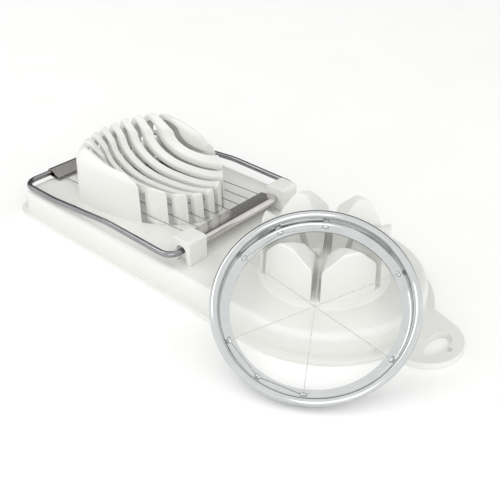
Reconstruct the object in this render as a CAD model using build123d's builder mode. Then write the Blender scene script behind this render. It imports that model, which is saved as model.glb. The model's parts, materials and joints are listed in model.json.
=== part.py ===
"""Two-in-one egg slicer: a long base with a slicing cradle under a hinged wire frame at one end,
and a six-petal wedge crown with a loose wire ring at the other. Millimetres, +Z up.

The origin is the middle of the foot of the base's free end, and +X runs along the base to the
hang tab. The frame is closed, and the ring leans on the crown with its lower edge on the table.
"""
import os
from math import cos, radians, sin, tan

from build123d import *

# Base
base_end_x = -1.5          # outer edge of the flange at the free end
crown_x = 149.5            # crown axis, and centre of the round end
flange_r = 45.0            # half the width of the base
flange_h = 1.6
free_corner_r = 9.0
skirt_step = 3.0           # from the flange's edge in to the wall
wall_draft = 2.5
deck_z = 11.0
deck_edge_r = 3.0
wall = 2.4

# Hang tab
tab_x = 196.6
tab_r = 15.3
tab_h = 2.8
tab_root_x = 189.0
tab_root_half = 18.0
hang_hole_x = 202.7
hang_hole_rx = 3.8
hang_hole_ry = 8.2
hook_notch_x = 207.0
hook_notch_r = 1.6

# Hinge
pivot_x = 103.0
pivot_z = 16.2
block_in_y = 24.0
block_out_y = 34.0
block_half_x = 5.0
block_top_z = 21.8
block_top_r = 1.6
bore_r = 1.36
recess_r = 2.6
recess_depth = 2.4

# Slicing frame
rod_r = 1.3
rail_y = 40.0
bar_x = 2.5
bar_z = 13.4
rail_rise_x = 25.5
rail_crest_x = 63.5
rail_crest_z = 16.9
corner_bend_r = 6.5
rail_bend_r = 60.0
pivot_bend_r = 5.5
pin_end_y = 15.0
sheet = 0.6
sheet_grip_r = 1.4        # inside radius of the sheet wrapped round the rod
channel_half = 25.0
channel_nose_x = 8.2
channel_nose_z = 12.4
plate_half = 23.6
plate_nose_x = 95.8
plate_nose_z = 16.2
nose_r = 0.8
wire_count = 8
wire_pitch = 6.4
wire_r = 0.2

# Egg cradle
cradle_x = 33.8            # widest station of the egg-shaped plan
cradle_blunt = 13.8
cradle_long = 53.9
cradle_half = 30.3
cradle_lean = 1.6          # how far the wall leans in over its height
cradle_top_z = 40.0
rim_top_x = 22.0           # the rim is an arc that falls away from the free end
rim_top_z = 38.2
rim_arc_r = 178.0
rim_edge_r = 2.5
cup_x = 54.0
cup_z = 32.0
cup_blunt = 24.8           # the egg's blunt end lies towards the free end
cup_long = 40.0
cup_ry = 24.0
cup_depth = 12.5
shell = 2.4
slot_w = 2.8

# Wedge crown
crown_foot_r = 25.8
crown_draft = 2.5
crown_top_z = 38.0
slot_floor_z = 14.0
crown_slot_w = 3.0
petal_count = 6
ridge_r = 24.0
ridge_z = 36.0
ridge_fall = 0.55          # the ridge drops towards the axis
gable_fall = 0.8           # and each side drops from the ridge
crown_cup_top_r = 15.5
crown_cup_floor_r = 9.0
crown_cup_floor_z = 16.5

# Cutter ring, leaning
ring_r = 38.0
bead_r = 1.6
flange_in_r = 31.0
flange_out_r = 34.6
flange_depth = 3.6         # front of the flange below the middle of the bead
ring_sheet = 0.7
ring_lean = 29.6
ring_lean_az = 31.5
ring_reach = 35.4          # crown axis to ring centre, in plan
table_gap = 0.1
wedge_wire_route = (-30, 150, 120, 90, -90, -120, -150, 30)
lug_r = 33.0
lug_long = 2.6
lug_wide = 1.5
lug_tall = 1.0
wedge_wire_r = 0.15


def base_outline(inset):
    """The base's plan: a rectangle whose far end is a half circle round the crown axis."""
    r = flange_r - inset
    left = base_end_x + inset
    with Locations(((left + crown_x) / 2, 0)):
        Rectangle(crown_x - left, 2 * r)
    with Locations((crown_x, 0)):
        Circle(r)


def round_free_end(sketch, radius):
    """Round the two corners of a base outline at its free end."""
    fillet(sketch.vertices().group_by(Axis.X)[0], radius)


def egg_plan(inset):
    """The cradle's plan: two half ellipses that share their long width."""
    half = cradle_half - inset
    with BuildSketch() as plan:
        with BuildLine():
            EllipticalCenterArc((cradle_x, 0), cradle_long - inset, half, start_angle=-90, arc_size=180)
            EllipticalCenterArc((cradle_x, 0), cradle_blunt - inset, half, start_angle=90, arc_size=180)
        make_face()
    return plan.sketch


def cradle_block(inset):
    """A solid of the cradle's outer shape, inset evenly, from the deck to the sloping rim."""
    with BuildPart() as block:
        with BuildSketch(Plane.XY.offset(deck_z)):
            add(egg_plan(inset))
        with BuildSketch(Plane.XY.offset(cradle_top_z)):
            add(egg_plan(inset + cradle_lean))
        loft()
        with BuildSketch(Plane.XZ):
            with Locations((rim_top_x, rim_top_z - inset - rim_arc_r)):
                Circle(rim_arc_r)
        extrude(amount=cradle_half, both=True, mode=Mode.INTERSECT)
        fillet(block.faces().sort_by(Axis.Z)[-1].edges(), rim_edge_r)
    return block.part


def egg_room(grow):
    """The egg's room: two half ellipsoids, blunt and long, carried straight up from their middle."""
    round_well = Sphere(1) + extrude(Circle(1), 2)
    blunt = split(round_well, bisect_by=Plane.YZ, keep=Keep.BOTTOM)
    long = split(round_well, bisect_by=Plane.YZ, keep=Keep.TOP)
    blunt = scale(blunt, (cup_blunt + grow, cup_ry + grow, cup_depth + grow))
    long = scale(long, (cup_long + grow, cup_ry + grow, cup_depth + grow))
    return Pos(cup_x, 0, cup_z) * (blunt + long)


os.makedirs("parts", exist_ok=True)

# Base shell: flange, drafted wall, deck and hang tab, hollow underneath
with BuildPart() as base_shell:
    with BuildSketch(Plane.XY.offset(0)) as wall_plan:
        base_outline(skirt_step)
        round_free_end(wall_plan, free_corner_r - skirt_step)
    extrude(amount=deck_z, taper=wall_draft)
    fillet(base_shell.faces().sort_by(Axis.Z)[-1].edges(), deck_edge_r)
    with BuildSketch() as flange_plan:
        base_outline(0)
        round_free_end(flange_plan, free_corner_r)
    extrude(amount=flange_h)
    with BuildSketch():
        with Locations((tab_x, 0)):
            Circle(tab_r)
        with Locations((tab_root_x, 0)):
            Rectangle(wall, 2 * tab_root_half)
        make_hull()
    extrude(amount=tab_h)
    with BuildSketch() as core_plan:
        base_outline(skirt_step + wall)
        round_free_end(core_plan, free_corner_r - skirt_step)
    extrude(amount=deck_z - wall, taper=wall_draft, mode=Mode.SUBTRACT)
    with BuildSketch():
        with Locations((hang_hole_x, 0)):
            Ellipse(hang_hole_rx, hang_hole_ry)
        with Locations((hook_notch_x, 0)):
            Circle(hook_notch_r)
    extrude(amount=tab_h, mode=Mode.SUBTRACT)
    with BuildSketch(Plane.XY.offset(deck_z)):
        add(egg_plan(0))
        with Locations((crown_x, 0)):
            Circle(crown_foot_r)
    extrude(amount=-wall, mode=Mode.SUBTRACT)
base_shell.part.label = "base_shell"
export_step(base_shell.part, "parts/base_shell.step")

# Hinge blocks, one each side, bored for the frame's pins
for side, place in ((-1, "front"), (1, "rear")):
    outer_face = Plane.XZ.offset(-side * block_out_y)
    with BuildPart() as hinge_block:
        with BuildSketch(outer_face):
            with Locations((pivot_x, (deck_z + block_top_z) / 2)):
                Rectangle(2 * block_half_x, block_top_z - deck_z)
        extrude(amount=side * (block_out_y - block_in_y))
        fillet(hinge_block.edges().filter_by(Axis.Y).group_by(Axis.Z)[-1], block_top_r)
        with BuildSketch(outer_face):
            with Locations((pivot_x, pivot_z)):
                Circle(recess_r)
            with Locations((pivot_x, (deck_z + pivot_z) / 2)):
                Rectangle(2 * recess_r, pivot_z - deck_z)
        extrude(amount=side * recess_depth, mode=Mode.SUBTRACT)
        with BuildSketch(outer_face):
            with Locations((pivot_x, pivot_z)):
                Circle(bore_r)
        extrude(amount=side * (block_out_y - block_in_y), mode=Mode.SUBTRACT)
    hinge_block.part.label = f"hinge_block_{place}"
    export_step(hinge_block.part, f"parts/hinge_block_{place}.step")

# Egg cradle: a thin shell cut into slats, one slot for each wire, down to the deck
wire_ys = [(i - (wire_count - 1) / 2) * wire_pitch for i in range(wire_count)]
cradle_inside = cradle_block(shell) - egg_room(shell)
egg_space = egg_room(0)
with BuildPart() as egg_cradle:
    add(cradle_block(0))
    add(cradle_inside, mode=Mode.SUBTRACT)
    add(egg_space, mode=Mode.SUBTRACT)
    with BuildSketch(Plane.XY.offset(deck_z)):
        with Locations(*[(cradle_x, y) for y in wire_ys]):
            Rectangle(2.5 * cradle_long, slot_w)
    extrude(amount=cradle_top_z, mode=Mode.SUBTRACT)
    with BuildSketch(Plane.XY.offset(deck_z)):
        add(egg_plan(0))
    extrude(amount=-wall)
egg_cradle.part.label = "egg_cradle"
export_step(egg_cradle.part, "parts/egg_cradle.step")

# Wedge crown: six gabled petals round a cup, with a slot between each pair
with BuildPart() as petal:
    with BuildSketch(Plane.XY.offset(slot_floor_z)):
        Circle(crown_foot_r - (slot_floor_z - deck_z) * tan(radians(crown_draft)))
        apex = crown_slot_w
        reach = 2 * crown_foot_r
        with BuildLine():
            half = (reach - apex) * tan(radians(180 / petal_count))
            Polyline((apex, 0), (reach, half), (reach, -half), close=True)
        make_face(mode=Mode.INTERSECT)
    extrude(amount=crown_top_z - slot_floor_z, taper=crown_draft)
    ridge_point = Vector(ridge_r, 0, ridge_z)
    for turn in (-1, 1):
        gable = Plane(origin=ridge_point, z_dir=Vector(-ridge_fall, turn * gable_fall, 1))
        split(bisect_by=gable, keep=Keep.BOTTOM)

with BuildPart() as wedge_crown:
    with BuildSketch(Plane.XY.offset(deck_z - wall)):
        with Locations((crown_x, 0)):
            Circle(crown_foot_r)
    extrude(amount=wall)
    with BuildSketch(Plane.XY.offset(deck_z)):
        with Locations((crown_x, 0)):
            Circle(crown_foot_r)
    extrude(amount=slot_floor_z - deck_z, taper=crown_draft)
    with Locations((crown_x, 0)):
        with PolarLocations(0, petal_count, start_angle=180 / petal_count):
            add(petal.part)
    with BuildSketch(Plane.XY.offset(crown_cup_floor_z)):
        with Locations((crown_x, 0)):
            Circle(crown_cup_floor_r)
    with BuildSketch(Plane.XY.offset(crown_top_z)):
        with Locations((crown_x, 0)):
            Circle(crown_cup_top_r)
    loft(mode=Mode.SUBTRACT)
wedge_crown.part.label = "wedge_crown"
export_step(wedge_crown.part, "parts/wedge_crown.step")

# Slicing frame: one bent rod, whose turned-in ends are the hinge pins
rod_points = [
    (pivot_x, pin_end_y, pivot_z),
    (pivot_x, rail_y, pivot_z),
    (rail_crest_x, rail_y, rail_crest_z),
    (rail_rise_x, rail_y, bar_z),
    (bar_x, rail_y, bar_z),
]
rod_bends = [pivot_bend_r, rail_bend_r, rail_bend_r, corner_bend_r]
with BuildPart() as frame_rod:
    with BuildLine() as rod_path:
        mirrored = [(x, -y, z) for x, y, z in reversed(rod_points)]
        FilletPolyline(*rod_points, *mirrored, radius=rod_bends + rod_bends[::-1])
    with BuildSketch(Plane(origin=rod_path.line @ 0, z_dir=rod_path.line % 0)):
        Circle(rod_r)
    sweep()
frame_rod.part.label = "frame_rod"
export_step(frame_rod.part, "parts/frame_rod.step")


def folded_strip(rod_at, nose_at, half_length):
    """Sheet folded round the rod and pinched to a nose that holds the wires' ends."""
    with BuildPart() as strip:
        with BuildSketch(Plane.XZ.offset(-half_length)):
            with Locations(rod_at):
                Circle(sheet_grip_r + sheet)
            with Locations(nose_at):
                Circle(nose_r)
            make_hull()
        extrude(amount=2 * half_length)
        with BuildSketch(Plane.XZ.offset(-half_length)):
            with Locations(rod_at):
                Circle(sheet_grip_r)
            with Locations(nose_at):
                Circle(nose_r - sheet)
            make_hull()
        extrude(amount=2 * half_length, mode=Mode.SUBTRACT)
    return strip.part


free_end_channel = folded_strip((bar_x, bar_z), (channel_nose_x, channel_nose_z), channel_half)
free_end_channel.label = "free_end_channel"
export_step(free_end_channel, "parts/free_end_channel.step")
hinge_plate = folded_strip((pivot_x, pivot_z), (plate_nose_x, plate_nose_z), plate_half)
hinge_plate.label = "hinge_plate"
export_step(hinge_plate, "parts/hinge_plate.step")

# Slicing wires, stretched between the two noses
for i, y in enumerate(wire_ys, start=1):
    wire_start = Vector(channel_nose_x + nose_r, y, channel_nose_z)
    wire_end = Vector(plate_nose_x - nose_r, y, plate_nose_z)
    with BuildPart() as slicing_wire:
        with BuildSketch(Plane(origin=wire_start, z_dir=wire_end - wire_start)):
            Circle(wire_r)
        extrude(amount=(wire_end - wire_start).length)
    slicing_wire.part.label = f"slicing_wire_{i}"
    export_step(slicing_wire.part, f"parts/slicing_wire_{i}.step")

# Cutter ring, in its own leaning frame: middle plane of the bead, axis up out of the front
lean = radians(ring_lean)
az = radians(ring_lean_az)
ring_axis = Vector(sin(az) * sin(lean), -cos(az) * sin(lean), cos(lean))
level = Vector(cos(az), sin(az), 0)
bead_mid_r = ring_r - bead_r
heel_r = flange_out_r + ring_sheet / 2
heel_depth = flange_depth + ring_sheet
ring_z = heel_r * sin(lean) + heel_depth * cos(lean) + table_gap
ring_at = Vector(crown_x + ring_reach * sin(az), -ring_reach * cos(az), ring_z)
ring_plane = Plane(origin=ring_at, x_dir=level, z_dir=ring_axis)
section_plane = Plane(origin=ring_at, x_dir=level, z_dir=level.cross(ring_axis))

with BuildPart() as cutter_ring:
    with BuildSketch(section_plane):
        with BuildLine():
            Polyline(
                (bead_mid_r - bead_r / 2, -bead_r / 2),
                (bead_mid_r + bead_r / 2, -bead_r),
                (heel_r, -heel_depth),
                (flange_in_r, -heel_depth),
                (flange_in_r, -flange_depth),
                (flange_out_r - ring_sheet / 2, -flange_depth),
                close=True,
            )
        make_face()
        with Locations((bead_mid_r, 0)):
            Circle(bead_r)
    revolve(axis=Axis(ring_at, ring_axis))
cutter_ring.part.label = "cutter_ring"
export_step(cutter_ring.part, "parts/cutter_ring.step")

# Lugs pressed up out of the flange, where the wire turns
with BuildPart() as wire_lugs:
    with BuildSketch(ring_plane.offset(-flange_depth)):
        for angle in wedge_wire_route:
            with PolarLocations(lug_r, 1, start_angle=angle):
                RectangleRounded(lug_wide, lug_long, lug_wide / 3)
    extrude(amount=lug_tall)
wire_lugs.part.label = "wire_lugs"
export_step(wire_lugs.part, "parts/wire_lugs.step")

# Wedge wire: one wire laced from lug to lug, so that three spans cross the opening
wire_plane = ring_plane.offset(-flange_depth + wedge_wire_r)
turns = [wire_plane.from_local_coords(Vector(lug_r, 0).rotate(Axis.Z, angle)) for angle in wedge_wire_route]
with BuildPart() as wedge_wire:
    for turn, next_turn in zip(turns, turns[1:]):
        with BuildSketch(Plane(origin=turn, z_dir=next_turn - turn)):
            Circle(wedge_wire_r)
        extrude(amount=(next_turn - turn).length)
wedge_wire.part.label = "wedge_wire"
export_step(wedge_wire.part, "parts/wedge_wire.step")
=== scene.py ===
"""A two-in-one egg slicer: the moulded base with its cradle and crown, the hinged frame of
cutting wires, and the loose ring that cuts wedges. Metres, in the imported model's own frame."""
import json
import math

import bmesh
import bpy
import numpy as np
from mathutils import Matrix, Vector


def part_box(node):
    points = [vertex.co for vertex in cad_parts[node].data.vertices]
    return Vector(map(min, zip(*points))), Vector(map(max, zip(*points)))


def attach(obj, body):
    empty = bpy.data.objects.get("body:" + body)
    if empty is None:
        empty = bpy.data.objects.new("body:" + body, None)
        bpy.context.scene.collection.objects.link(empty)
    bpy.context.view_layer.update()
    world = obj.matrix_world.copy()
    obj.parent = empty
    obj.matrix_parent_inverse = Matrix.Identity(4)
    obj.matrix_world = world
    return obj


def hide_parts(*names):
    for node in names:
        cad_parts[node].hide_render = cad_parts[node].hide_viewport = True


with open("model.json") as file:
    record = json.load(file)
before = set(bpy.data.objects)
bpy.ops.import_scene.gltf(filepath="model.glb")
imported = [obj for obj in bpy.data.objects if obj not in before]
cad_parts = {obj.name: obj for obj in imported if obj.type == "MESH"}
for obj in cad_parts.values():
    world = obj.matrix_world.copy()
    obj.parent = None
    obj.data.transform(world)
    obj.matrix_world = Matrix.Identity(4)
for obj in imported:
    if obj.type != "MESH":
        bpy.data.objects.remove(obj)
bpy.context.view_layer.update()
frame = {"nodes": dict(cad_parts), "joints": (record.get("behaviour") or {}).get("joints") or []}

bl_info = {
    "name": "Egg slicer",
    "version": (1, 0, 0),
    "blender": (4, 5, 0),
    "location": "View3D > Sidebar > Egg slicer",
    "description": "Builds the finished pieces of an egg slicer on its packed frame",
    "category": "Object",
}

MM = 0.001
WIRE_COUNT = 8
LACING = (-30, 150, 120, 90, -90, -120, -150, 30)  # degrees round the ring, lug by lug
BASE, FRAME, CUTTER = "base", "slicing_frame", "wedge_cutter"


def node_box(node):
    """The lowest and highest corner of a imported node, as arrays."""
    low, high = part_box(node)
    return np.array(low), np.array(high)


# Meshes from arrays


def grid_faces(rows, columns, wrap_rows=False, wrap_columns=False):
    """Four indices for each cell of a rows by columns grid, joined end to start where it wraps."""
    r = np.arange(rows if wrap_rows else rows - 1)
    c = np.arange(columns if wrap_columns else columns - 1)
    r, c = (a.ravel() for a in np.meshgrid(r, c, indexing="ij"))
    r2, c2 = (r + 1) % rows, (c + 1) % columns
    return np.stack([r * columns + c, r2 * columns + c, r2 * columns + c2, r * columns + c2], axis=1)


def make_piece(name, parts, sharp=35.0):
    """One closed object from (points, faces) arrays: welded, turned outwards, smooth up to an angle."""
    points = np.concatenate([np.reshape(p, (-1, 3)) for p, _ in parts])
    starts = np.cumsum([0] + [np.size(p) // 3 for p, _ in parts[:-1]])
    faces = [row for start, (_, f) in zip(starts, parts) for row in (np.asarray(f) + start).tolist()]
    mesh = bpy.data.meshes.new(name)
    mesh.from_pydata(points.tolist(), [], faces)
    piece = bpy.data.objects.new(name, mesh)
    bpy.context.scene.collection.objects.link(piece)
    return finish_mesh(piece, sharp)


def finish_mesh(piece, sharp):
    """Welds doubles, drops faces with no area, turns normals outwards and shades smooth."""
    work = bmesh.new()
    work.from_mesh(piece.data)
    bmesh.ops.remove_doubles(work, verts=work.verts, dist=2e-6)
    bmesh.ops.dissolve_degenerate(work, edges=work.edges, dist=1e-6)
    bmesh.ops.recalc_face_normals(work, faces=work.faces)
    work.to_mesh(piece.data)
    work.free()
    piece.data.shade_smooth()
    piece.data.set_sharp_from_angle(angle=math.radians(sharp))
    return piece


def unit(v):
    """Vectors scaled to length one along the last axis."""
    return v / np.linalg.norm(v, axis=-1, keepdims=True)


def rounded_path(corners, radii, steps=12):
    """Straight runs joined by tangent arcs: each corner is replaced by points on the circle that
    touches both runs."""
    corners = np.array(corners, dtype=float)
    path = [corners[:1]]
    for a, b, c, radius in zip(corners, corners[1:], corners[2:], radii):
        back, ahead = unit(a - b), unit(c - b)
        half = math.acos(np.clip(np.dot(back, ahead), -1, 1)) / 2
        middle = b + unit(back + ahead) * radius / math.sin(half)
        start = b + back * radius / math.tan(half)
        out = unit(start - middle)
        along = unit(np.cross(np.cross(out, -back), out))
        turn = np.linspace(0, math.pi - 2 * half, steps)[:, None]
        path.append(middle + radius * (out * np.cos(turn) + along * np.sin(turn)))
    path.append(corners[-1:])
    return np.concatenate(path)


def tube(path, radius, sides=24, up=(0, 0, 1), dome=True):
    """A circle carried along a path: centre + radius (side cos t + over sin t), where side is
    square to the path and to the up direction. The ends close with a short dome."""
    tangent = unit(np.gradient(path, axis=0))
    side = unit(np.cross(tangent, up))
    over = np.cross(side, tangent)
    t = np.linspace(0, 2 * math.pi, sides, endpoint=False)[None, :, None]
    ring = side[:, None] * np.cos(t) + over[:, None] * np.sin(t)
    body = path[:, None] + radius * ring
    bend = np.linspace(math.pi / 2, 0, 5)[:-1, None, None]
    reach = radius * (0.5 if dome else 0.05)
    start = path[0] + radius * np.cos(bend) * ring[:1] - reach * np.sin(bend) * tangent[0]
    end = path[-1] + radius * np.cos(bend[::-1]) * ring[-1:] + reach * np.sin(bend[::-1]) * tangent[-1]
    points = np.concatenate([start, body, end])
    return points, grid_faces(len(points), sides, wrap_columns=True)


def soften(node, name, width, sharp=32.0):
    """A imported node's own shape with its edges rounded, as a mould leaves them."""
    piece = bpy.data.objects.new(name, frame["nodes"][node].data.copy())
    bpy.context.scene.collection.objects.link(piece)
    work = bmesh.new()
    work.from_mesh(piece.data)
    bmesh.ops.remove_doubles(work, verts=work.verts, dist=2e-6)
    flat = math.radians(0.4)
    bmesh.ops.dissolve_limit(work, angle_limit=flat, verts=work.verts, edges=work.edges)
    work.to_mesh(piece.data)
    work.free()
    piece.data.materials.clear()
    piece.data.shade_smooth()
    piece.data.set_sharp_from_angle(angle=math.radians(sharp))
    bevel = piece.modifiers.new("Moulded edge", "BEVEL")
    bevel.width = width
    bevel.segments = 3
    bevel.limit_method = "ANGLE"
    bevel.angle_limit = math.radians(sharp)
    bevel.harden_normals = True
    return piece


# Materials


def linear(colour):
    """An sRGB hex colour as linear red, green, blue and a full alpha."""
    channels = np.array([int(colour[i:i + 2], 16) for i in (1, 3, 5)]) / 255
    low, high = channels / 12.92, ((channels + 0.055) / 1.055) ** 2.4
    return (*np.where(channels <= 0.04045, low, high), 1.0)


def add_node(tree, kind, settings=(), **inputs):
    """Adds a node. Settings are its attributes, and each input is a value or a socket to link."""
    node = tree.nodes.new(kind)
    for key, value in dict(settings).items():
        setattr(node, key, value)
    for key, value in inputs.items():
        socket = node.inputs[int(key[1:]) if key[0] == "i" and key[1:].isdigit() else key.replace("_", " ")]
        if isinstance(value, bpy.types.NodeSocket):
            tree.links.new(value, socket)
        else:
            socket.default_value = value
    return node


def new_material(name):
    """An empty node material, with its tree and its Object coordinates."""
    material = bpy.data.materials.new(name)
    material.use_nodes = True
    tree = material.node_tree
    tree.nodes.clear()
    where = add_node(tree, "ShaderNodeTexCoord").outputs["Object"]
    return material, tree, where


def finish_material(tree, shader):
    """Links the shader to the material's output."""
    add_node(tree, "ShaderNodeOutputMaterial", Surface=shader.outputs["BSDF"])


def span(tree, value, low, high, steepness=(0.3, 0.7)):
    """Maps a 0 to 1 pattern onto the range from low to high."""
    settings = {"From Min": steepness[0], "From Max": steepness[1], "To Min": low, "To Max": high}
    node = add_node(tree, "ShaderNodeMapRange", Value=value)
    for key, number in settings.items():
        node.inputs[key].default_value = number
    return node.outputs["Result"]


def tint(tree, pattern, first, second):
    """A colour between two hex colours, led by a pattern."""
    node = add_node(tree, "ShaderNodeMix", {"data_type": "RGBA"})
    tree.links.new(pattern, node.inputs["Factor"])
    colours = [s for s in node.inputs if s.type == "RGBA"]
    colours[0].default_value = linear(first)
    colours[1].default_value = linear(second)
    return next(s for s in node.outputs if s.type == "RGBA")


def per_mm(size):
    """A noise scale whose features are about this many millimetres across."""
    return 1 / (size * MM)


def moulded_abs(colour):
    """Injection-moulded ABS, polished tool: opaque white, softly glossy, with a faint unevenness
    where the wall thickness changes and a very fine grain that dulls the highlight."""
    material, tree, where = new_material("white_abs_moulded")
    cloud = add_node(tree, "ShaderNodeTexNoise", Vector=where, Scale=per_mm(22), Detail=2.0)
    grain = add_node(tree, "ShaderNodeTexNoise", Vector=where, Scale=per_mm(0.6), Detail=3.0)
    bump = add_node(tree, "ShaderNodeBump", Strength=0.05, Distance=0.02 * MM, Height=grain.outputs["Fac"])
    shader = add_node(
        tree, "ShaderNodeBsdfPrincipled", IOR=1.53, Normal=bump.outputs["Normal"],
        Base_Color=tint(tree, cloud.outputs["Fac"], colour, "#E7E7E3"),
        Roughness=span(tree, cloud.outputs["Fac"], 0.27, 0.36),
    )
    finish_material(tree, shader)
    return material


def bright_chrome(name, first, second, rough):
    """Chromium plate on drawn steel: a cool mirror with slight cloudiness from handling and
    faint lines along the drawing direction."""
    material, tree, where = new_material(name)
    cloud = add_node(tree, "ShaderNodeTexNoise", Vector=where, Scale=per_mm(6), Detail=3.0)
    lines = add_node(tree, "ShaderNodeTexNoise", Vector=where, Scale=per_mm(0.5), Detail=2.0)
    bump = add_node(tree, "ShaderNodeBump", Strength=0.06, Distance=0.01 * MM, Height=lines.outputs["Fac"])
    shader = add_node(
        tree, "ShaderNodeBsdfPrincipled", Metallic=1.0, Normal=bump.outputs["Normal"],
        Base_Color=tint(tree, cloud.outputs["Fac"], first, second),
        Roughness=span(tree, cloud.outputs["Fac"], rough, rough + 0.07),
    )
    finish_material(tree, shader)
    return material


def rolled_stainless(name, first, second):
    """Cold-rolled stainless strip, folded: dark where it mirrors a dark part of the room, with
    fine rolling lines along its length that stretch the highlight."""
    material, tree, where = new_material(name)
    mapping = add_node(tree, "ShaderNodeMapping", Vector=where, Scale=(1.0, 0.04, 1.0))
    along = mapping.outputs["Vector"]
    lines = add_node(tree, "ShaderNodeTexNoise", Vector=along, Scale=per_mm(0.35), Detail=3.0)
    cloud = add_node(tree, "ShaderNodeTexNoise", Vector=where, Scale=per_mm(9), Detail=2.0)
    bump = add_node(tree, "ShaderNodeBump", Strength=0.15, Distance=0.02 * MM, Height=lines.outputs["Fac"])
    shader = add_node(
        tree, "ShaderNodeBsdfPrincipled", Metallic=1.0, Normal=bump.outputs["Normal"],
        Base_Color=tint(tree, cloud.outputs["Fac"], first, second),
        Roughness=span(tree, lines.outputs["Fac"], 0.14, 0.26),
    )
    finish_material(tree, shader)
    return material


def drawn_wire(name, first, second):
    """Drawn stainless wire: grey metal, a little rough, with short marks along it from the die."""
    material, tree, where = new_material(name)
    marks = add_node(tree, "ShaderNodeTexNoise", Vector=where, Scale=per_mm(1.2), Detail=3.0)
    shader = add_node(
        tree, "ShaderNodeBsdfPrincipled", Metallic=1.0,
        Base_Color=tint(tree, marks.outputs["Fac"], first, second),
        Roughness=span(tree, marks.outputs["Fac"], 0.2, 0.36),
    )
    finish_material(tree, shader)
    return material


def studio_paper(colour):
    """Matt white sweep paper, with the faint mottling of its fibres."""
    material, tree, where = new_material("sweep_paper_matt")
    fibres = add_node(tree, "ShaderNodeTexNoise", Vector=where, Scale=per_mm(40), Detail=4.0)
    shader = add_node(
        tree, "ShaderNodeBsdfPrincipled", Roughness=0.9,
        Base_Color=tint(tree, fibres.outputs["Fac"], colour, "#FBFBFA"),
    )
    finish_material(tree, shader)
    return material


def finish_piece(piece, body, slot, material, *replaced):
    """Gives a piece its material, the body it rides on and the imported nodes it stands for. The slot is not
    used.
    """
    piece.data.materials.append(material)
    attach(piece, body)
    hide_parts(*replaced)


# Sizes and colours that a user would change


class EggSlicerSizes(bpy.types.PropertyGroup):
    """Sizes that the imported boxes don't give."""

    rod_radius: bpy.props.FloatProperty(
        name="Rod radius", description="Radius of the bent frame rod", default=1.3 * MM, unit="LENGTH")
    wire_radius: bpy.props.FloatProperty(
        name="Wire radius", description="Radius of the slicing wires", default=0.2 * MM, unit="LENGTH")
    laced_radius: bpy.props.FloatProperty(
        name="Laced wire radius", description="Radius of the ring's wire", default=0.15 * MM, unit="LENGTH")
    sheet: bpy.props.FloatProperty(
        name="Sheet", description="Thickness of the folded strips", default=0.6 * MM, unit="LENGTH")
    edge: bpy.props.FloatProperty(
        name="Moulded edge", description="Rounding of the mouldings' edges", default=0.45 * MM, unit="LENGTH")
    ring_radius: bpy.props.FloatProperty(
        name="Ring radius", description="Outside radius of the cutter ring", default=38 * MM, unit="LENGTH")
    ring_opening: bpy.props.FloatProperty(
        name="Ring opening", description="Radius of the opening in the ring", default=31 * MM, unit="LENGTH")
    ring_lean: bpy.props.FloatProperty(
        name="Ring lean", description="Tilt of the leaning ring", default=math.radians(29.6), subtype="ANGLE")
    ring_heading: bpy.props.FloatProperty(
        name="Ring heading", description="Direction of the ring's level diameter", default=math.radians(31.5),
        subtype="ANGLE")
    ring_reach: bpy.props.FloatProperty(
        name="Ring reach", description="Crown axis to ring centre, in plan", default=35.4 * MM, unit="LENGTH")


class EggSlicerFinishes(bpy.types.PropertyGroup):
    """Colours of the mouldings, the metals and the floor, as sRGB hex."""

    plastic: bpy.props.StringProperty(name="Plastic", description="White of the mouldings", default="#E2E2DE")
    # The rod's grey is darker than plated steel: painted dark reflection.
    rod: bpy.props.StringProperty(name="Rod", description="Plated frame rod", default="#828285")
    strip: bpy.props.StringProperty(name="Strip", description="Folded stainless strips", default="#C6C3C1")
    # The channel's darker grey is painted dark reflection.
    channel: bpy.props.StringProperty(name="Channel", description="Folded channel", default="#85827F")
    ring: bpy.props.StringProperty(name="Ring", description="Pressed ring", default="#BFC3C3")
    wire: bpy.props.StringProperty(name="Wire", description="Slicing wires", default="#8C8A86")
    laced: bpy.props.StringProperty(name="Laced wire", description="The ring's wire", default="#C2C0BC")
    floor: bpy.props.StringProperty(name="Floor", description="Sweep paper", default="#F6F6F5")


def sizes():
    """The scene's sizes."""
    return bpy.context.scene.egg_slicer_sizes


def finishes():
    """The scene's colours."""
    return bpy.context.scene.egg_slicer_finishes


def plastic():
    """The mouldings' material, made on first use."""
    return bpy.data.materials.get("white_abs_moulded") or moulded_abs(finishes().plastic)


def strip_steel(node):
    """The plate is polished, and the channel is darker: its colour is painted dark reflection."""
    if node == "hinge_plate":
        return rolled_stainless("stainless_strip_polished", finishes().strip, "#DAD8D6")
    return rolled_stainless("stainless_strip_painted_dark_reflection", finishes().channel, "#A3A09D")


def wire_steel():
    """The slicing wires' material, made on first use."""
    name = "stainless_wire_drawn"
    return bpy.data.materials.get(name) or drawn_wire(name, finishes().wire, "#A9A6A0")


# Pieces


class EGG_OT_base(bpy.types.Operator):
    """The base tray with its hang tab, and the two hinge blocks"""

    bl_idname = "egg.base"
    bl_label = "Base"

    def execute(self, context):
        names = {
            "base_shell": "base_tray", "hinge_block_front": "front_hinge_block",
            "hinge_block_rear": "rear_hinge_block",
        }
        for node, name in names.items():
            piece = soften(node, name, sizes().edge)
            finish_piece(piece, BASE, "white_plastic", plastic(), node)
        return {"FINISHED"}


def soft_lower(first, second, blend):
    """The lower of two heights, rounded where they meet: a parabola bridges them over the blend."""
    gap = np.clip(blend - np.abs(first - second), 0, None) / blend
    return np.minimum(first, second) - gap ** 2 * blend / 4


def edge_drop(distance, radius):
    """How far a rounded edge lies below its flat: radius less the height of a quarter circle."""
    near = np.clip(radius - distance, 0, radius)
    return radius - np.sqrt(radius ** 2 - near ** 2)


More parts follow.
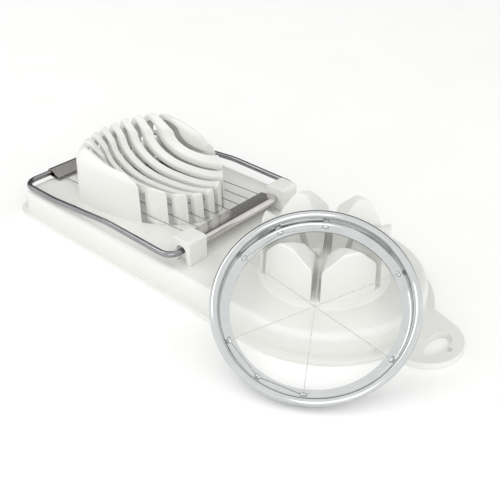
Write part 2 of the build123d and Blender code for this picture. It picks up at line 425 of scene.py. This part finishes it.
# The cradle's plan, rim and cup, in millimetres. The plan and the cup are each two half ellipses,
# and the rim falls away from the free end.
PLAN_X, PLAN_BLUNT, PLAN_LONG, PLAN_HALF = 33.8, 13.8, 53.9, 30.3
RIM_X, RIM_Z, RIM_ARC, RIM_CROWN = 22.0, 38.4, 178.0, 180.0
RIM_ROUND, ROUND_X = (6.0, 2.6), (30.0, 72.0)
CUP_X, CUP_Z, CUP_BLUNT, CUP_LONG, CUP_HALF, CUP_DEPTH = 54.0, 32.0, 24.8, 40.0, 24.0, 12.5
CUP_FLARE = 0.9
DECK, WALL_LEAN, WALL_RUN, CRADLE_WALL = 11.0, 1.6, 29.0, 2.4
SLOT, PITCH, SLAT_EDGE = 2.8, 6.4, 0.75


def plan_distance(x, y, inset):
    """How far a point is inside the cradle's plan: one less the ellipse's radius ratio, over the
    length of that ratio's gradient. Also returns the outward direction."""
    a = np.where(x < PLAN_X, PLAN_BLUNT, PLAN_LONG) - inset
    b = PLAN_HALF - inset
    ratio = np.hypot((x - PLAN_X) / a, y / b)
    slope = np.stack([(x - PLAN_X) / a ** 2, y / b ** 2]) / np.maximum(ratio, 0.05)
    steep = np.maximum(np.hypot(*slope), 1 / PLAN_LONG)
    return (1 - ratio) / steep, slope / steep, ratio


def cradle_height(x, y, inset):
    """The top of the cradle: the lower of the domed rim and the cup. The rim is an arc along the
    base and another across it, rounded to the wall more at the free end. The cup is a half
    ellipsoid that flares upwards past its widest level."""
    distance, _, _ = plan_distance(x, y, inset)
    along = RIM_ARC - np.sqrt(RIM_ARC ** 2 - (x - RIM_X) ** 2)
    across = RIM_CROWN - np.sqrt(RIM_CROWN ** 2 - y ** 2)
    rounding = np.interp(x, ROUND_X, RIM_ROUND)
    rim = RIM_Z - inset - along - across - edge_drop(distance, rounding)
    a = np.where(x < CUP_X, CUP_BLUNT, CUP_LONG) + inset
    ratio = np.hypot((x - CUP_X) / a, y / (CUP_HALF + inset))
    bowl = CUP_Z - (CUP_DEPTH + inset) * np.sqrt(np.clip(1 - ratio ** 2, 0, 1))
    flare = CUP_FLARE * a * np.clip(ratio - 1, 0, None)
    return soft_lower(rim, bowl + flare, 1.6)


def slat_sheet(start, end, inset, closes, across=17, along=96, up=7):
    """One skin of a slat: wall, top and wall again at each station from start to end. A side slat
    closes on the plan's edge, with stations at the sine of an even step."""
    step = np.linspace(0, 1, across)
    share = np.sin(step * math.pi / 2) if closes else step
    end = math.copysign(PLAN_HALF - inset, end) if closes else end
    y = (start + (end - start) * share)[:, None]
    half = np.sqrt(np.clip(1 - (y / (PLAN_HALF - inset)) ** 2, 0, 1))
    low, high = PLAN_X - (PLAN_BLUNT - inset) * half, PLAN_X + (PLAN_LONG - inset) * half
    even = np.linspace(0, 1, along)
    x = low + (high - low) * (0.5 - 0.5 * np.cos(math.pi * even))
    y = y + 0 * x
    z = cradle_height(x, y, inset)
    if inset == 0:
        z = z - edge_drop(np.abs(y - start), SLAT_EDGE)
        z = z if closes else z - edge_drop(np.abs(end - y), SLAT_EDGE)
    climb = np.linspace(0, 1, up, endpoint=False)
    first = DECK - 0.2 + (z[:, :1] - DECK + 0.2) * climb
    last = DECK - 0.2 + (z[:, -1:] - DECK + 0.2) * climb[::-1]
    x = np.concatenate([x[:, :1] + 0 * first, x, x[:, -1:] + 0 * last], axis=1)
    y = np.concatenate([y[:, :1] + 0 * first, y, y[:, -1:] + 0 * last], axis=1)
    z = np.concatenate([first, z, last], axis=1)
    _, outward, ratio = plan_distance(x, y, inset)
    lean = WALL_LEAN * np.clip(z - DECK, 0, None) / WALL_RUN * np.clip(ratio, 0, 1) ** 4
    x = x - outward[0] * lean
    y = y - outward[1] * lean * (share[:, None] if closes else 0)
    return np.stack([x, y, z], axis=2) * MM


def slat(start, end, closes):
    """A hollow slat: an outer skin, an inner skin, and strips that join them round their edges."""
    outer = slat_sheet(start, end, 0.0, closes)
    inner = slat_sheet(start, end, CRADLE_WALL, closes)
    rows, columns = outer.shape[:2]
    parts = [(outer, grid_faces(rows, columns)), (inner, grid_faces(rows, columns))]
    edges = [np.s_[0], np.s_[:, 0], np.s_[:, -1]] + ([] if closes else [np.s_[-1]])
    for edge in edges:
        strip = np.stack([outer[edge], inner[edge]])
        parts.append((strip, grid_faces(*strip.shape[:2])))
    return parts


class EGG_OT_cradle(bpy.types.Operator):
    """The egg cradle: seven slats between two side walls"""

    bl_idname = "egg.cradle"
    bl_label = "Egg cradle"

    def execute(self, context):
        half = (PITCH - SLOT) / 2
        middles = PITCH * np.arange(-3, 4)
        parts = [part for y in middles for part in slat(y - half, y + half, False)]
        side = PITCH * 4 - half
        parts += slat(side, PLAN_HALF, True) + slat(-side, -PLAN_HALF, True)
        piece = make_piece("cradle_slats", parts, sharp=50)
        finish_piece(piece, BASE, "white_plastic", plastic(), "egg_cradle")
        return {"FINISHED"}


# The crown's petals, in millimetres
CROWN_R, CROWN_DRAFT, CROWN_SLOT, SLOT_FLOOR, PETALS = 25.8, math.radians(2.5), 3.7, 14.0, 6
RIDGE_R, RIDGE_Z, RIDGE_FALL, GABLE_FALL = 24.0, 36.0, 0.55, 0.8
CUP_FLOOR_R, CUP_FLOOR_Z, CUP_WALL = 9.0, 16.5, 3.3
PETAL_EDGE, PETAL_CAP = 0.9, 34.4


def petal_top(x, y):
    """A petal's height: the lowest of two gable planes that share a radial ridge, a level cap and
    the crown's cup, rounded along the slots and the outer wall."""
    r = np.hypot(x, y)
    gable = RIDGE_Z + RIDGE_FALL * (x - RIDGE_R) - GABLE_FALL * (np.sqrt(y ** 2 + 0.35) - 0.59)
    cup = CUP_FLOOR_Z + CUP_WALL * np.clip(r - CUP_FLOOR_R, 0, None)
    top = soft_lower(soft_lower(gable, PETAL_CAP, 1.0), cup, 1.2)
    slot_gap = (x - CROWN_SLOT) * math.sin(math.pi / PETALS) - np.abs(y) * math.cos(math.pi / PETALS)
    return top - edge_drop(np.maximum(slot_gap, 0), PETAL_EDGE) - edge_drop(CROWN_R - r, PETAL_EDGE)


def petal_points(turn, along=48, across=41):
    """A petal's top grid on rays from the tip between its two slots, bunched towards its edges,
    and the same grid at the slot's floor."""
    spread = np.sin(np.linspace(-1, 1, across) * math.pi / 2) * math.pi / PETALS
    reach = -CROWN_SLOT * np.cos(spread) + np.sqrt(CROWN_R ** 2 - (CROWN_SLOT * np.sin(spread)) ** 2)
    length = reach * np.sin(np.linspace(0, 1, along) * math.pi / 2)[:, None]
    x, y = CROWN_SLOT + length * np.cos(spread), length * np.sin(spread)
    levels = []
    for z in (petal_top(x, y), np.full(x.shape, SLOT_FLOOR - 0.1)):
        draft = 1 - (z - DECK) * math.tan(CROWN_DRAFT) / CROWN_R * (np.hypot(x, y) / CROWN_R) ** 4
        flat = np.stack([x * draft * math.cos(turn) - y * draft * math.sin(turn),
                         x * draft * math.sin(turn) + y * draft * math.cos(turn), z], axis=2)
        levels.append(flat)
    return levels


def petal(turn, steps=8):
    """A closed petal: the top, the floor under it, and walls between their edges."""
    top, floor = petal_points(turn)
    parts = [(top, grid_faces(*top.shape[:2])), (floor, grid_faces(*floor.shape[:2]))]
    climb = np.linspace(0, 1, steps)[:, None, None]
    for edge in (np.s_[-1], np.s_[:, 0], np.s_[:, -1], np.s_[:1, 0]):
        wall = floor[edge] + (top[edge] - floor[edge]) * climb
        parts.append((wall, grid_faces(*wall.shape[:2])))
    return parts


def crown_disc(foot=1.6, turns=96):
    """The disc that joins the petals: a profile with a hollow quarter round at its foot, turned
    about the crown's axis and closed at the middle of its top."""
    quarter = np.radians(np.linspace(0, 90, 7))
    foot_r = CROWN_R + foot * (1 - np.sin(quarter))
    foot_z = DECK - 0.2 + foot * (1 - np.cos(quarter))
    radius = np.concatenate([foot_r, [CROWN_R - 0.15, CROWN_R - 0.6, 0]])
    height = np.concatenate([foot_z, [SLOT_FLOOR - 0.3, SLOT_FLOOR, SLOT_FLOOR]])
    turn = np.linspace(0, 2 * math.pi, turns, endpoint=False)[:, None]
    points = np.stack([radius * np.cos(turn), radius * np.sin(turn), height + 0 * turn], axis=2)
    base = np.stack([points[:, 0], points[:, 0] * (0, 0, 1)])
    side = (points, grid_faces(turns, len(radius), wrap_rows=True))
    return [side, (base, grid_faces(2, turns, wrap_columns=True))]


class EGG_OT_crown(bpy.types.Operator):
    """The wedge crown: a disc and six gabled petals"""

    bl_idname = "egg.crown"
    bl_label = "Wedge crown"

    def execute(self, context):
        low, high = node_box("wedge_crown")
        axis = np.array([(low[0] + high[0]) / 2, (low[1] + high[1]) / 2, 0])
        turns = (np.arange(PETALS) + 0.5) * 2 * math.pi / PETALS
        parts = crown_disc() + [part for turn in turns for part in petal(turn)]
        parts = [(points * MM + axis, faces) for points, faces in parts]
        piece = make_piece("crown_petals", parts, sharp=50)
        finish_piece(piece, BASE, "white_plastic", plastic(), "wedge_crown")
        return {"FINISHED"}


# The frame rod, in millimetres: where its pins end, how far behind the pivot each rail's crest and
# foot lie, how far its crest stands above the pivot, and the radii of its bends
PIN_END, CREST_BACK, FOOT_BACK, CREST_RISE = 15.0, 39.5, 77.5, 0.7
ROD_BENDS = (5.5, 60.0, 60.0, 6.5)


class EGG_OT_rod(bpy.types.Operator):
    """The bent rod of the slicing frame"""

    bl_idname = "egg.rod"
    bl_label = "Frame rod"

    def execute(self, context):
        r = sizes().rod_radius
        low, high = node_box("frame_rod")
        pivot = np.array(frame["joints"][0]["pos_m"])
        rail = high[1] - r
        bar_x, bar_z = low[0] + r, low[2] + r
        half = [
            (pivot[0], PIN_END * MM, pivot[2]),
            (pivot[0], rail, pivot[2]),
            (pivot[0] - CREST_BACK * MM, rail, pivot[2] + CREST_RISE * MM),
            (pivot[0] - FOOT_BACK * MM, rail, bar_z),
            (bar_x, rail, bar_z),
        ]
        corners = half + [(x, -y, z) for x, y, z in half[::-1]]
        bends = [radius * MM for radius in ROD_BENDS]
        path = rounded_path(corners, bends + bends[::-1])
        piece = make_piece("frame_bail", [tube(path, r, sides=32)])
        # The rod's dark base colour is painted dark reflection.
        chrome = bright_chrome("chrome_plated_rod", finishes().rod, "#A6A6A9", 0.05)
        finish_piece(piece, FRAME, "chrome_rod", chrome, "frame_rod")
        return {"FINISHED"}


def hull_outline(at, radius, nose_at, nose_radius, steps=24):
    """Two arcs joined by their common tangents: the closed outline of a sheet round a rod and a
    nose. The tangent's lean from the centre line is the arcsine of the radii's difference over
    the distance."""
    at, nose_at = np.array(at), np.array(nose_at)
    line = nose_at - at
    heading = math.atan2(line[1], line[0])
    lean = math.acos((radius - nose_radius) / np.hypot(*line))
    big = np.linspace(heading + lean, heading + 2 * math.pi - lean, 2 * steps)
    small = np.linspace(heading - lean, heading + lean, steps // 2)
    rows = [(at, radius, big), (nose_at, nose_radius, small)]
    return np.concatenate([c + r * np.stack([np.cos(a), np.sin(a)], axis=1) for c, r, a in rows])


def folded_sheet(at, radius, nose_at, nose_radius, half, sheet):
    """The outline of a fold, outside and inside, carried along Y, with both ends joined."""
    outer = hull_outline(at, radius, nose_at, nose_radius)
    inner = hull_outline(at, radius - sheet, nose_at, nose_radius - sheet * 0.9)
    lip = 0.15 * MM
    stations = [
        (outer, -half + lip), (outer, half - lip), (outer, half),
        (inner, half), (inner, -half), (outer, -half),
    ]
    rows = [np.stack([o[:, 0], np.full(len(o), y), o[:, 1]], axis=1) for o, y in stations]
    points = np.stack(rows)
    return points, grid_faces(len(rows), points.shape[1], wrap_rows=True, wrap_columns=True)


class EGG_OT_strips(bpy.types.Operator):
    """The folded strips that hold the slicing wires"""

    bl_idname = "egg.strips"
    bl_label = "Wire strips"

    def execute(self, context):
        nose = 0.8 * MM
        channel, plate = ("free_end_channel", "bar_channel", 1.0 * MM), ("hinge_plate", "pin_plate", 0.0)
        for node, name, drop in (channel, plate):
            low, high = node_box(node)
            grip = (high[2] - low[2]) / 2
            nose_ahead = node == "free_end_channel"
            rod_x = low[0] + grip if nose_ahead else high[0] - grip
            nose_x = high[0] - nose if nose_ahead else low[0] + nose
            middle = (low[2] + high[2]) / 2
            half = (high[1] - low[1]) / 2
            fold = folded_sheet((rod_x, middle), grip, (nose_x, middle - drop), nose, half, sizes().sheet)
            piece = make_piece(name, [fold])
            finish_piece(piece, FRAME, "dark_strip", strip_steel(node), node)
        return {"FINISHED"}


class EGG_OT_slicing_wires(bpy.types.Operator):
    """The parallel wires that slice the egg"""

    bl_idname = "egg.slicing_wires"
    bl_label = "Slicing wires"

    def execute(self, context):
        for number in range(1, WIRE_COUNT + 1):
            node = f"slicing_wire_{number}"
            low, high = node_box(node)
            y = (low[1] + high[1]) / 2
            r = sizes().wire_radius
            ends = np.array([(low[0], y, low[2] + r), (high[0], y, high[2] - r)])
            path = ends[0] + (ends[1] - ends[0]) * np.linspace(0, 1, 9)[:, None]
            piece = make_piece(f"cutting_wire_{number}", [tube(path, r, sides=12, dome=False)])
            finish_piece(piece, FRAME, "cutting_wire", wire_steel(), node)
        return {"FINISHED"}


# The ring's section and lugs, in metres: depths are behind the middle of the rolled bead
BEAD, RING_SHEET, FLANGE_DEPTH, WALL_FOOT = 1.6 * MM, 0.7 * MM, 3.6 * MM, 34.6 * MM
HEEL_R, HEEL_DEPTH, TABLE_GAP = 34.95 * MM, 4.3 * MM, 0.1 * MM
LUG_R, LUG_HALF_WIDTH, LUG_HALF_LENGTH = 33 * MM, 0.75 * MM, 1.3 * MM
LUG_FOOT, LUG_HEIGHT = 3.7 * MM, 1.05 * MM
LACING_BEND = 1.2 * MM


def ring_place():
    """The leaning ring's centre, level direction, uphill direction and axis."""
    s = sizes()
    low, high = node_box("wedge_crown")
    lean, turn = s.ring_lean, s.ring_heading
    axis = np.array([math.sin(turn) * math.sin(lean), -math.cos(turn) * math.sin(lean), math.cos(lean)])
    level = np.array([math.cos(turn), math.sin(turn), 0])
    height = HEEL_R * math.sin(lean) + HEEL_DEPTH * math.cos(lean) + TABLE_GAP
    across = (low + high) / 2
    away = s.ring_reach * np.array([math.sin(turn), -math.cos(turn)])
    centre = np.array([across[0] + away[0], across[1] + away[1], height])
    return centre, level, np.cross(axis, level), axis


def on_ring(radius, depth, angle):
    """Points at a radius, a depth behind the bead and an angle round the ring."""
    centre, level, uphill, axis = ring_place()
    radius, depth, angle = np.broadcast_arrays(radius, depth, angle)
    out = level * np.cos(angle)[..., None] + uphill * np.sin(angle)[..., None]
    return centre + out * radius[..., None] - axis * depth[..., None]


def ring_section():
    """Radius and depth of the ring's closed section: flat flange, dished wall and rolled bead."""
    s = sizes()
    middle = s.ring_radius - BEAD
    roll = np.radians(np.linspace(205, -75, 30))
    rolled = np.stack([middle + BEAD * np.cos(roll), -BEAD * np.sin(roll)], axis=1)
    inside = np.array([[s.ring_opening, FLANGE_DEPTH], [WALL_FOOT - 0.9 * MM, FLANGE_DEPTH]])
    dish = np.array([
        [WALL_FOOT - 0.3 * MM, FLANGE_DEPTH - 0.25 * MM], [WALL_FOOT + 0.05 * MM, FLANGE_DEPTH - 0.8 * MM],
    ])
    under = np.array([
        [middle + 0.3 * MM, BEAD + 0.2 * MM], [WALL_FOOT + 0.35 * MM, FLANGE_DEPTH + RING_SHEET],
    ])
    lip = np.array([
        [s.ring_opening, FLANGE_DEPTH + RING_SHEET], [s.ring_opening, FLANGE_DEPTH + RING_SHEET / 2],
    ])
    return np.concatenate([inside, dish, rolled, under, lip])


class EGG_OT_ring(bpy.types.Operator):
    """The pressed ring with its rolled bead and lugs"""

    bl_idname = "egg.ring"
    bl_label = "Cutter ring"

    def execute(self, context):
        section = ring_section()
        turn = np.linspace(0, 2 * math.pi, 160, endpoint=False)
        points = on_ring(section[None, :, 0], section[None, :, 1], turn[:, None])
        faces = grid_faces(len(turn), len(section), wrap_rows=True, wrap_columns=True)
        steel = bright_chrome("pressed_ring_bright", finishes().ring, "#D6D8D8", 0.07)
        piece = make_piece("pressed_ring", [(points, faces)], sharp=50)
        finish_piece(piece, CUTTER, "ring_steel", steel, "cutter_ring")
        lugs = make_piece("ring_lugs", [lug(math.radians(a)) for a in LACING])
        finish_piece(lugs, CUTTER, "ring_steel", steel, "wire_lugs")
        return {"FINISHED"}


def lug(angle, rings=10, sides=28):
    """A pressed bump: a rounded rectangle, a superellipse of power four, that shrinks as the
    square root of one minus height squared. Its first ring is a point that closes its foot."""
    t = np.linspace(0, 2 * math.pi, sides, endpoint=False)[None, :]
    rise = np.concatenate([[0], np.linspace(0, 1, rings)])[:, None]
    shrink = np.sqrt(1 - rise ** 2)
    shrink[0] = 0
    power = (np.abs(np.cos(t)) ** 4 + np.abs(np.sin(t)) ** 4) ** -0.25
    out = LUG_R + LUG_HALF_WIDTH * shrink * power * np.cos(t)
    along = LUG_HALF_LENGTH * shrink * power * np.sin(t)
    points = on_ring(out, LUG_FOOT - LUG_HEIGHT * rise + 0 * t, angle + along / LUG_R)
    return points, grid_faces(rings + 1, sides, wrap_columns=True)


class EGG_OT_wedge_wire(bpy.types.Operator):
    """The one wire laced across the ring"""

    bl_idname = "egg.wedge_wire"
    bl_label = "Wedge wire"

    def execute(self, context):
        r = sizes().laced_radius
        corners = on_ring(LUG_R, FLANGE_DEPTH - r, np.radians(LACING))
        path = rounded_path(corners, [LACING_BEND] * (len(corners) - 2), steps=8)
        piece = make_piece("laced_wire", [tube(path, r, sides=12, up=ring_place()[3], dome=False)])
        bright = drawn_wire("bright_wire_polished", finishes().laced, "#D6D4D0")
        finish_piece(piece, CUTTER, "cutting_wire", bright, "wedge_wire")
        return {"FINISHED"}


class EGG_OT_stage(bpy.types.Operator):
    """The floor, the soft lights and the camera"""

    bl_idname = "egg.stage"
    bl_label = "Stage"

    def execute(self, context):
        reach = 6.0
        corners = np.array([(-reach, -reach, 0), (reach, -reach, 0), (reach, reach, 0), (-reach, reach, 0)])
        mesh = bpy.data.meshes.new("floor")
        mesh.from_pydata(corners.tolist(), [], [(0, 1, 2, 3)])
        floor = bpy.data.objects.new("floor", mesh)
        floor.data.materials.append(studio_paper(finishes().floor))
        context.scene.collection.objects.link(floor)
        world = context.scene.world or bpy.data.worlds.new("Studio")
        context.scene.world = world
        world.use_nodes = True
        light_world(world.node_tree)
        add_light("key", (-0.35, -0.25, 0.75), 0.5, 0.9)
        add_light("fill", (0.75, -0.6, 0.5), 0.7, 1.5)
        add_camera()
        context.scene.view_settings.view_transform = "Standard"
        return {"FINISHED"}


def light_world(tree):
    """A white tent with a dark panel at its far side, which gives bright metal its dark streaks."""
    tree.nodes.clear()
    where = add_node(tree, "ShaderNodeTexCoord").outputs["Generated"]
    height = add_node(tree, "ShaderNodeSeparateXYZ", Vector=where).outputs["Z"]
    tent = span(tree, height, 1.3, 1.08, steepness=(0.0, 0.5))
    towards = (-0.67, 0.74, 0.0)
    far_side = add_node(tree, "ShaderNodeVectorMath", {"operation": "DOT_PRODUCT"}, i0=where, i1=towards)
    panel = span(tree, far_side.outputs["Value"], 0.0, 0.95, steepness=(0.35, 0.7))
    under_top = span(tree, height, 1.0, 0.0, steepness=(0.7, 0.92))
    dark = add_node(tree, "ShaderNodeMath", {"operation": "MULTIPLY"}, i0=panel, i1=under_top)
    white = add_node(tree, "ShaderNodeMath", {"operation": "SUBTRACT"}, i0=tent, i1=dark.outputs["Value"])
    background = add_node(tree, "ShaderNodeBackground", Color=(1, 1, 1, 1), Strength=white.outputs["Value"])
    add_node(tree, "ShaderNodeOutputWorld", Surface=background.outputs["Background"])


def add_light(name, at, size, power):
    """A square soft light that faces the middle of the slicer."""
    lamp = bpy.data.lights.new(name, "AREA")
    lamp.size = size
    lamp.energy = power
    light = bpy.data.objects.new(name, lamp)
    light.location = at
    aim = Vector((0.1, 0, 0.01)) - light.location
    light.rotation_euler = aim.to_track_quat("-Z", "Y").to_euler()
    bpy.context.scene.collection.objects.link(light)


def add_camera():
    """A 56 mm lens above the round end's near side, looking back along the base."""
    azimuth, elevation = math.radians(41.893), math.radians(33.276)
    right = Vector((math.cos(azimuth), math.sin(azimuth), 0))
    level = math.cos(elevation)
    back = Vector((math.sin(azimuth) * level, -math.cos(azimuth) * level, math.sin(elevation)))
    up = back.cross(right)
    turn = Matrix((right, up, back)).transposed().to_4x4()
    lens = bpy.data.cameras.new("camera")
    lens.lens = 56.36
    lens.sensor_width = 36.0
    camera = bpy.data.objects.new("camera", lens)
    camera.matrix_world = Matrix.Translation((0.2998, -0.2117, 0.190)) @ turn
    bpy.context.scene.collection.objects.link(camera)
    bpy.context.scene.camera = camera


class EGG_PT_panel(bpy.types.Panel):
    """Lists the slicer's pieces, sizes and colours"""

    bl_idname = "EGG_PT_panel"
    bl_label = "Egg slicer"
    bl_space_type = "VIEW_3D"
    bl_region_type = "UI"
    bl_category = "Egg slicer"

    def draw(self, context):
        for group in (context.scene.egg_slicer_sizes, context.scene.egg_slicer_finishes):
            for key in group.__annotations__:
                self.layout.prop(group, key)
        for operator in OPERATORS:
            self.layout.operator(operator.bl_idname)


OPERATORS = (
    EGG_OT_base, EGG_OT_cradle, EGG_OT_crown, EGG_OT_rod, EGG_OT_strips, EGG_OT_slicing_wires, EGG_OT_ring,
    EGG_OT_wedge_wire, EGG_OT_stage,
)
CLASSES = (EggSlicerSizes, EggSlicerFinishes, *OPERATORS, EGG_PT_panel)


def register():
    """Adds the classes and the scene's settings."""
    for cls in CLASSES:
        bpy.utils.register_class(cls)
    bpy.types.Scene.egg_slicer_sizes = bpy.props.PointerProperty(type=EggSlicerSizes)
    bpy.types.Scene.egg_slicer_finishes = bpy.props.PointerProperty(type=EggSlicerFinishes)


def unregister():
    """Takes the settings and the classes away again."""
    del bpy.types.Scene.egg_slicer_sizes
    del bpy.types.Scene.egg_slicer_finishes
    for cls in reversed(CLASSES):
        bpy.utils.unregister_class(cls)


def main():
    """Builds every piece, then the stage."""
    register()
    for operator in OPERATORS:
        group, action = operator.bl_idname.split(".")
        getattr(getattr(bpy.ops, group), action)()


if __name__ == "__main__":
    main()
